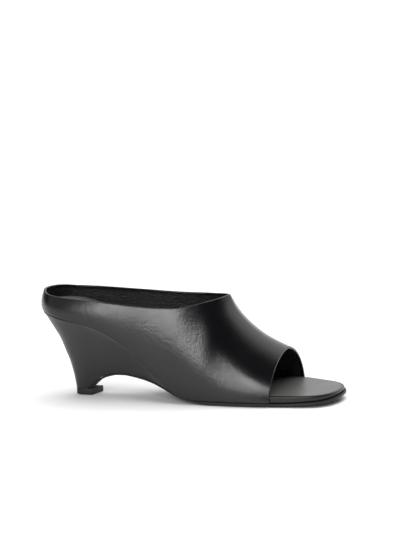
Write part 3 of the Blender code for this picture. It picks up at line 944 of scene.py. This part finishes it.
@dataclass(frozen=True)
class EdgeTree:
    """Geometry-node tree that sweeps a round folded edge along a path."""

    name: str

    def build(self) -> bpy.types.NodeTree:
        """Make the node tree.

        Returns:
            A tree with inputs Path, Radius, Segments and Leather.
        """
        tree = bpy.data.node_groups.new(self.name, "GeometryNodeTree")
        face = tree.interface
        face.new_socket("Geometry", in_out="INPUT", socket_type="NodeSocketGeometry")
        face.new_socket("Path", in_out="INPUT", socket_type="NodeSocketObject")
        radius = face.new_socket("Radius", in_out="INPUT", socket_type="NodeSocketFloat")
        radius.default_value = 0.001
        segments = face.new_socket("Segments", in_out="INPUT", socket_type="NodeSocketInt")
        segments.default_value = 8
        face.new_socket("Leather", in_out="INPUT", socket_type="NodeSocketMaterial")
        face.new_socket("Geometry", in_out="OUTPUT", socket_type="NodeSocketGeometry")
        nodes, links = tree.nodes, tree.links
        inputs, outputs = nodes.new("NodeGroupInput"), nodes.new("NodeGroupOutput")
        guide = nodes.new("GeometryNodeObjectInfo")
        circle = nodes.new("GeometryNodeCurvePrimitiveCircle")
        sweep = nodes.new("GeometryNodeCurveToMesh")
        realize = nodes.new("GeometryNodeRealizeInstances")
        dress = nodes.new("GeometryNodeSetMaterial")
        sweep.inputs["Fill Caps"].default_value = True
        links.new(inputs.outputs["Path"], guide.inputs["Object"])
        links.new(inputs.outputs["Segments"], circle.inputs["Resolution"])
        links.new(inputs.outputs["Radius"], circle.inputs["Radius"])
        links.new(guide.outputs["Geometry"], sweep.inputs["Curve"])
        links.new(circle.outputs["Curve"], sweep.inputs["Profile Curve"])
        links.new(sweep.outputs["Mesh"], realize.inputs["Geometry"])
        links.new(realize.outputs["Geometry"], dress.inputs["Geometry"])
        links.new(inputs.outputs["Leather"], dress.inputs["Material"])
        links.new(dress.outputs["Geometry"], outputs.inputs["Geometry"])
        return tree


class RimPoint(NamedTuple):
    """One point of a rim's profile: how far in it stands and its height over the underside or the top."""

    inset: float
    from_low: bool
    lift: float


@dataclass
class SoleUnit:
    """Insole, sock, outsole, covered wedge and heel tip."""

    last: Last
    rim_width: float = 0.0020
    rim_round: float = 0.0015
    lift_height: float = 0.0050
    lift_width: float = 0.0146
    lift_back: float = 0.107
    lift_front: float = 0.178
    lift_skew: float = 0.0022
    sole_crown: float = 0.0008
    waist_end: float = 0.62
    wedge_edge_round: float = 0.0014
    wedge_edge_tuck: float = 0.0011

    def layer(self, name: str, rim: Sequence[RimPoint], low: Callable[[np.ndarray], np.ndarray],
              high: Callable[[np.ndarray], np.ndarray], stations: int = 150, across: int = 24) -> bpy.types.Object:
        """A layer over the whole foot, its rim given as a profile that runs round the outline.

        Args:
            name: Name of the piece.
            rim: Profile from the middle of the underside out round the edge to the middle of the top.
            low: Height of its underside by share of the length.
            high: Height of its top by share of the length.
            stations: Points on each side of the outline.
            across: Points across the middle of the top and the underside.

        Returns:
            The piece.
        """
        vertices: list[np.ndarray] = []
        faces: list[tuple[int, ...]] = []
        count = 2 * stations - 2
        for point in rim:
            lateral, medial = self.last.inset(stations, point.inset)
            loop = np.vstack([lateral, medial[-2:0:-1]])
            along = self.last.along(loop[:, 0])
            bottom, top = low(along), high(along)
            middle = (bottom + top) / 2.0
            height = np.minimum(bottom + point.lift, middle) if point.from_low else np.maximum(top + point.lift, middle)
            vertices += list(np.column_stack([loop, height]))
        for k in range(len(rim) - 1):
            for i in range(count):
                j = (i + 1) % count
                faces.append((k * count + i, k * count + j, (k + 1) * count + j, (k + 1) * count + i))
        for ring in (0, len(rim) - 1):
            start = ring * count
            left = [start + i for i in range(stations)]
            right = [start] + [start + count - i for i in range(1, stations - 1)] + [start + stations - 1]
            rows = []
            for a, b in zip(left, right):
                if a == b:
                    rows.append([a])
                    continue
                near, far = vertices[a], vertices[b]
                inner = []
                for t in np.linspace(0.0, 1.0, across + 1)[1:-1]:
                    inner.append(len(vertices))
                    vertices.append(near + (far - near) * t)
                rows.append([a] + inner + [b])
            for before, after in zip(rows, rows[1:]):
                if len(before) == 1:
                    faces += [(before[0], after[m], after[m + 1]) for m in range(len(after) - 1)]
                elif len(after) == 1:
                    faces += [(before[m], before[m + 1], after[0]) for m in range(len(before) - 1)]
                else:
                    faces += [(before[m], before[m + 1], after[m + 1], after[m]) for m in range(len(before) - 1)]
        return Workshop.mesh_piece(name, vertices, faces, 55.0)

    @staticmethod
    def rounded_rim(inset: float, low_round: float, high_round: float, steps: int = 6) -> list[RimPoint]:
        """Profile of a plain rim with both edges rounded.

        Args:
            inset: Distance of the rim in from the outside of the upper.
            low_round: Radius of the lower edge.
            high_round: Radius of the upper edge.
            steps: Points on each rounding.

        Returns:
            The profile, underside first.
        """
        angles = np.linspace(0.0, math.pi / 2.0, steps + 1)
        lower = [RimPoint(inset + low_round * (1.0 - math.sin(a)), True, low_round * (1.0 - math.cos(a)))
                 for a in angles]
        upper = [RimPoint(inset + high_round * (1.0 - math.cos(a)), False, -high_round * (1.0 - math.sin(a)))
                 for a in angles]
        return lower + upper

    def insole(self) -> bpy.types.Object:
        """The wrapped insole board: a rounded rim that stands level with the sock it holds."""
        inset, seat = self.last.rim_inset, self.last.rim_inset + self.rim_width
        floor = -(self.last.sock_thickness + self.last.clearance * 0.3)
        rim = self.rounded_rim(inset, 0.0008, self.rim_round)
        rim += [RimPoint(seat - 0.0002, False, 0.0), RimPoint(seat, False, -0.0003), RimPoint(seat, False, floor)]
        return self.layer("insole_wrap", rim, self.last.feather, self.last.footbed)

    def sock(self) -> bpy.types.Object:
        """The sock lining, laid in between the rims."""
        inset = self.last.rim_inset + self.rim_width + 0.00012
        return self.layer("sock", self.rounded_rim(inset, 0.0001, 0.00025, 4),
                          lambda a: self.last.footbed(a) - self.last.sock_thickness, self.last.footbed)

    def outsole(self) -> bpy.types.Object:
        """The thin sole: forefoot, waist and the flap down the heel breast."""
        last = self.last
        first, end = UNDERSIDE[0].along, UNDERSIDE[-1].along - last.sole_inset / last.length
        waist = np.linspace(first, self.waist_end, 130)
        front = self.waist_end + (end - self.waist_end) * np.sin(np.linspace(0.0, math.pi / 2.0, 90))
        fine = np.linspace(first, UNDERSIDE[-1].along, 600)
        floor_side = np.column_stack([last.x(fine), last.underside(fine, "height")])
        foot_side = offset_curve(floor_side, last.underside(fine, "thickness"))
        left_edge, right_edge = last.inset(500, last.sole_inset)
        rings = []
        for along in np.concatenate([waist, front[1:]]):
            x, low = float(last.x(along)), float(last.underside(along, "height"))
            top_x = float(np.interp(along, fine, foot_side[:, 0]))
            top_z = float(np.interp(along, fine, foot_side[:, 1]))
            if along > self.waist_end:
                top_x, top_z = x, low + float(last.underside(along, "thickness"))
            spread, centre = float(last.underside(along, "spread")), last.middle(along)
            left = centre + (float(np.interp(x, left_edge[:, 0], left_edge[:, 1])) - centre) * spread
            right = centre + (float(np.interp(x, right_edge[:, 0], right_edge[:, 1])) - centre) * spread
            crown = self.sole_crown * float(np.interp(along, (0.50, 0.62, 0.86, 0.95), (0.0, 1.0, 1.0, 0.3)))
            half, middle = (right - left) / 2.0, (right + left) / 2.0
            radius = min(0.0005, 0.3 * (top_z - low))
            inner = max(0.0, 1.0 - radius / max(half, 1e-6))
            across = np.linspace(-inner, inner, 25)
            ring: Ring = [(x, middle + half * t, low + crown * max(0.0, (abs(t) - 0.5) / 0.5) ** 2)
                          for t in across]
            edge_low = low + crown
            rise_x, rise_z = top_x - x, top_z - edge_low
            ring.append((x + rise_x * 0.25, middle + half, edge_low + rise_z * 0.25))
            ring.append((x + rise_x * 0.75, middle + half, edge_low + rise_z * 0.75))
            ring += [(top_x, middle + half * t, top_z) for t in across[::-1]]
            ring.append((x + rise_x * 0.75, middle - half, edge_low + rise_z * 0.75))
            ring.append((x + rise_x * 0.25, middle - half, edge_low + rise_z * 0.25))
            rings.append(ring)
        return Workshop.loft("sole", rings, True, 60.0)

    def wedge_side(self, x: float, z: float, side: Side, low: float) -> float:
        """Across position of the wedge's side at a point of its side view.

        Args:
            x: Position along the shoe.
            z: Height.
            side: Which side.
            low: Lowest height of the wedge at this position.

        Returns:
            The position on Y.
        """
        last = self.last
        along = float(last.along(x))
        top = float(last.feather(along)) - last.clearance
        depth = min(max((top - z) / max(top - low, 1e-6), 0.0), 1.0)
        shrink = 1.0 - (1.0 - float(last.underside(along, "spread"))) * depth ** 0.82
        heel_back = float(last.x(OUTLINE[0].along))
        back = float(last.x(GentleCurve(column(BACK, "height"), column(BACK, "along"))(z / last.seat_height)))
        start = heel_back + (back - heel_back) * smooth_step((top - z) / (0.03 * last.seat_height))
        near = min(1.0, max(0.0, 1.0 - (x - start) / (0.45 * last.ball_width)))
        matched = heel_back + max(0.0, x - start) / shrink
        probe = min(float(last.along(matched * near + x * (1.0 - near))), 0.6)
        centre = last.middle(along)
        full = float(last.outline(probe, side))
        tuck = max(0.0, 1.0 - (top - z) / self.wedge_edge_round) ** 2 * self.wedge_edge_tuck
        edge = -side.value * min(last.sole_inset * 0.3 + tuck, abs(full - centre))
        return centre + (full + edge - centre) * shrink

    def wedge(self) -> bpy.types.Object:
        """The covered wedge: side view swept in a fan from the heel tip to the ball."""
        last = self.last
        fine = np.linspace(UNDERSIDE[0].along, 0.50, 500)
        under = np.column_stack([last.x(fine), last.underside(fine, "height")])
        arch = offset_curve(under, last.underside(fine, "thickness") + last.clearance)
        base = self.lift_height + last.clearance

        def roof(x: float) -> float:
            return float(last.feather(last.along(x))) - last.clearance

        tip = next(i for i in range(len(arch)) if roof(arch[i, 0]) - arch[i, 1] < 0.0005)
        arch = arch[:tip]
        arch = np.vstack([[arch[0, 0] - (arch[0, 1] - base) * 0.9, base], arch])
        heights = np.linspace(base, float(last.feather(OUTLINE[0].along)) - last.clearance, 200)
        back = np.column_stack([
            last.x(GentleCurve(column(BACK, "height"), column(BACK, "along"))(heights / last.seat_height)),
            heights])
        corner = back[-1]
        leg, run, rings_across = 64, 90, 34
        split = int(np.searchsorted(arch[:, 0], float(last.x(0.235))))
        inner = np.vstack([evenly(arch[:split + 1], leg), evenly(arch[split:], run)[1:]])
        ease = 1.0 - np.cos(np.linspace(0.0, math.pi / 2.0, run))
        top_x = corner[0] + (arch[-1, 0] - corner[0]) * (0.55 * np.linspace(0.0, 1.0, run) + 0.45 * ease)
        outer = np.vstack([evenly(back, leg), [(x, roof(x)) for x in top_x[1:]]])
        shares = 1.0 - (1.0 - np.linspace(0.0, 1.0, rings_across)) ** 1.9
        rings = []
        for near, far in zip(inner, outer):
            sides: dict[Side, Ring] = {Side.LATERAL: [], Side.MEDIAL: []}
            for t in shares:
                x, z = near + (far - near) * t
                low = max(float(np.interp(x, arch[:, 0], arch[:, 1])), base)
                for side in Side:
                    sides[side].append((float(x), self.wedge_side(x, z, side, low), float(z)))
            rings.append(sides[Side.LATERAL] + sides[Side.MEDIAL][::-1])
        return Workshop.loft("wedge_cover", rings, True, 60.0)

    def heel_tip(self) -> bpy.types.Object:
        """The D-shaped top piece under the heel."""
        last = self.last
        back_x, front_x = float(last.x(self.lift_back)), float(last.x(self.lift_front))
        centre, half = last.ball_width * last.heel_middle, self.lift_width / 2.0
        waist_x = back_x + half * 1.15
        plan = [(waist_x - (waist_x - back_x) * math.sin(a), centre - half * math.cos(a))
                for a in np.linspace(0.0, math.pi, 49)]
        plan = np.array([(front_x - self.lift_skew, centre - half)] + plan
                        + [(front_x + self.lift_skew, centre + half)])
        middle = plan.mean(axis=0)
        rings = []
        for z, scale in ((0.0, 0.965), (0.0002, 0.985), (0.0006, 1.0), (self.lift_height - 0.0004, 1.0),
                         (self.lift_height, 0.985)):
            moved = middle + (plan - middle) * scale
            rings.append([(float(x), float(y), z) for x, y in moved])
        return Workshop.loft("heel_tip", rings, True, 30.0)

    def build(self, finishes: dict[str, bpy.types.Material]) -> None:
        """Build and dress every piece of the sole unit.

        Args:
            finishes: Materials by the record's slot names.
        """
        jobs = ((self.insole, "insole_leather", "insole"), (self.sock, "sock_leather", "sock_lining"),
                (self.outsole, "sole_rubber", "outsole"), (self.wedge, "wedge_leather", "wedge_heel"),
                (self.heel_tip, "top_piece_rubber", "top_piece"))
        for make, slot, node in jobs:
            Workshop.finish(make(), finishes[slot], slot, node)


@dataclass(frozen=True)
class SoftBox:
    """A soft studio light, placed by the direction it shines from.

    Azimuth runs from +Y (behind the shoe) through +X (past the toe); both angles are in degrees.
    """

    name: str
    azimuth: float
    elevation: float
    distance: float
    width: float
    height: float
    power: float
    tilt: float = 0.0


@dataclass(frozen=True)
class Wall:
    """A soft bright patch of the room, as a cone of directions that fades out."""

    azimuth: float
    elevation: float
    inner: float
    outer: float
    strength: float


def direction(azimuth: float, elevation: float) -> Vector:
    """Unit vector towards a point of the room, from angles in degrees."""
    a, e = math.radians(azimuth), math.radians(elevation)
    return Vector((math.sin(a) * math.cos(e), math.cos(a) * math.cos(e), math.sin(e)))


@dataclass(frozen=True)
class Studio:
    """White floor, soft lights, grey room and the camera of the photograph."""

    azimuth: float = 15.5
    elevation: float = 12.7
    roll: float = 1.7
    distance: float = 1.25
    target: tuple[float, float, float] = (-0.00046, -0.00768, 0.0)
    focal_length: float = 138.46
    sensor: float = 36.0
    shift: tuple[float, float] = (0.0400, 0.3024)
    ambient: float = 0.02
    overhead_strength: float = 2.9
    overhead_angle: float = 70.0
    boxes: tuple[SoftBox, ...] = (SoftBox("key_box", -176.0, 24.0, 1.7, 0.20, 1.40, 17.0, -36.0),)
    walls: tuple[Wall, ...] = (Wall(15.0, 15.0, 35.0, 65.0, 1.3), Wall(-125.0, 15.0, 5.0, 45.0, 0.5))

    def camera(self) -> None:
        """Set the camera at the photograph's angle, framing and roll."""
        azimuth, elevation = math.radians(self.azimuth), math.radians(self.elevation)
        back = Vector((math.sin(azimuth) * math.cos(elevation), -math.cos(azimuth) * math.cos(elevation),
                       math.sin(elevation)))
        right = Vector((0.0, 0.0, 1.0)).cross(back).normalized()
        up = back.cross(right)
        turn = math.radians(self.roll)
        rolled_right = right * math.cos(turn) - up * math.sin(turn)
        rolled_up = up * math.cos(turn) + right * math.sin(turn)
        place = Vector(self.target) + back * self.distance
        lens = bpy.data.cameras.new("camera")
        lens.sensor_fit = "HORIZONTAL"
        lens.sensor_width = self.sensor
        lens.lens = self.focal_length
        lens.shift_x, lens.shift_y = self.shift
        lens.clip_start, lens.clip_end = 0.01, 200.0
        camera = bpy.data.objects.new("camera", lens)
        matrix = Matrix.Identity(4)
        for row in range(3):
            matrix[row][0], matrix[row][1], matrix[row][2] = rolled_right[row], rolled_up[row], back[row]
            matrix[row][3] = place[row]
        camera.matrix_world = matrix
        bpy.context.scene.collection.objects.link(camera)
        bpy.context.scene.camera = camera

    def floor(self) -> None:
        """Lay the plain white floor."""
        half = 40.0
        mesh = bpy.data.meshes.new("floor")
        mesh.from_pydata([(-half, -half, 0.0), (half, -half, 0.0), (half, half, 0.0), (-half, half, 0.0)], [],
                         [(0, 1, 2, 3)])
        floor = bpy.data.objects.new("floor", mesh)
        bpy.context.scene.collection.objects.link(floor)
        material = bpy.data.materials.new("floor_white")
        material.use_nodes = True
        shader = material.node_tree.nodes["Principled BSDF"]
        shader.inputs["Base Color"].default_value = (0.90, 0.90, 0.90, 1.0)
        shader.inputs["Roughness"].default_value = 0.9
        shader.inputs["Specular IOR Level"].default_value = 0.1
        mesh.materials.append(material)

    def world(self) -> None:
        """Paint the room: nearly dark, with a soft bright patch for each wall."""
        world = bpy.data.worlds.new("studio")
        world.use_nodes = True
        nodes, links = world.node_tree.nodes, world.node_tree.links
        place = nodes.new("ShaderNodeTexCoord")
        total = None
        for wall in self.walls:
            facing = nodes.new("ShaderNodeVectorMath")
            facing.operation = "DOT_PRODUCT"
            facing.inputs[1].default_value = direction(wall.azimuth, wall.elevation)
            links.new(place.outputs["Generated"], facing.inputs[0])
            fade = nodes.new("ShaderNodeMapRange")
            fade.interpolation_type = "SMOOTHSTEP"
            fade.inputs["From Min"].default_value = math.cos(math.radians(wall.outer))
            fade.inputs["From Max"].default_value = math.cos(math.radians(wall.inner))
            fade.inputs["To Max"].default_value = wall.strength
            links.new(facing.outputs["Value"], fade.inputs["Value"])
            add = nodes.new("ShaderNodeMath")
            add.operation = "ADD"
            add.inputs[1].default_value = self.ambient
            links.new(fade.outputs["Result"], add.inputs[0])
            if total is not None:
                links.new(total, add.inputs[1])
            total = add.outputs["Value"]
        nodes["Background"].inputs["Color"].default_value = (1.0, 1.0, 1.0, 1.0)
        links.new(total, nodes["Background"].inputs["Strength"])
        bpy.context.scene.world = world
        bpy.context.scene.view_settings.view_transform = "Standard"

    def hang(self, box: SoftBox) -> None:
        """Hang one soft light, facing the shoe."""
        light = bpy.data.lights.new(box.name, "AREA")
        light.shape = "RECTANGLE"
        light.size, light.size_y, light.energy = box.width, box.height, box.power
        lamp = bpy.data.objects.new(box.name, light)
        way = direction(box.azimuth, box.elevation)
        lamp.location = way * box.distance + Vector((0.0, 0.0, 0.04))
        turn = (-way).to_track_quat("-Z", "Y").to_matrix().to_4x4()
        lamp.rotation_euler = (turn @ Matrix.Rotation(math.radians(box.tilt), 4, "Z")).to_euler()
        bpy.context.scene.collection.objects.link(lamp)

    def overhead(self) -> None:
        """Light the floor evenly from above, without glare on the leather."""
        light = bpy.data.lights.new("overhead", "SUN")
        light.energy, light.angle = self.overhead_strength, math.radians(self.overhead_angle)
        lamp = bpy.data.objects.new("overhead", light)
        lamp.rotation_euler = (math.radians(-6.0), math.radians(8.0), 0.0)
        lamp.visible_glossy = False
        bpy.context.scene.collection.objects.link(lamp)

    def build(self) -> None:
        """Set up the whole studio."""
        self.camera()
        self.floor()
        self.world()
        self.overhead()
        for box in self.boxes:
            self.hang(box)


NAPPA = LeatherFinish("nappa", (0.0042, 0.0043, 0.0052), (0.0028, 0.0029, 0.0036), 0.25, 0.03, 0.15, 0.16, 0.38,
                      Grain(0.0011, 0.00004, 0.0024, 0.00010, 0.55))
LINING = LeatherFinish("lining_grain", (0.022, 0.021, 0.021), (0.006, 0.006, 0.006), 0.42, 0.05, 0.0, 0.3, 0.5,
                       Grain(0.0011, 0.00060, 0.0040, 0.00020))
WRAP = LeatherFinish("insole_wrap_leather", (0.010, 0.010, 0.011), (0.007, 0.007, 0.008), 0.36, 0.03, 0.0, 0.3,
                     0.4, Grain(0.0010, 0.00004, 0.0030, 0.00008))
SOCK = LeatherFinish("sock_leather", (0.078, 0.076, 0.073), (0.060, 0.059, 0.057), 0.42, 0.04, 0.0, 0.3, 0.5,
                     Grain(0.0009, 0.00006, 0.0035, 0.00008))
COVER = LeatherFinish("wedge_cover_leather", (0.0110, 0.0112, 0.0120), (0.0085, 0.0087, 0.0094), 0.40, 0.03, 0.0,
                      0.3, 0.5, Grain(0.0010, 0.00004, 0.0035, 0.00008))
SOLE = LeatherFinish("sole_black", (0.010, 0.010, 0.010), (0.007, 0.007, 0.007), 0.55, 0.05, 0.0, 0.3, 0.4,
                     Grain(0.0008, 0.00005, 0.0030, 0.00005))
TIP = LeatherFinish("tip_rubber", (0.010, 0.010, 0.010), (0.007, 0.007, 0.007), 0.55, 0.04, 0.0, 0.3, 0.4,
                    Grain(0.0007, 0.00003, 0.0020, 0.00003))


def main() -> None:
    """Build the shoe and its studio."""
    logging.basicConfig(level=logging.INFO, format="%(name)s: %(message)s")
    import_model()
    last = Last()
    finishes = {"insole_leather": WRAP.build(), "sock_leather": SOCK.build(), "sole_rubber": SOLE.build(),
                "wedge_leather": COVER.build(), "top_piece_rubber": TIP.build()}
    Upper(last).build(NAPPA.build(), LINING.build())
    SoleUnit(last).build(finishes)
    Studio().build()


if __name__ == "__main__":
    main()
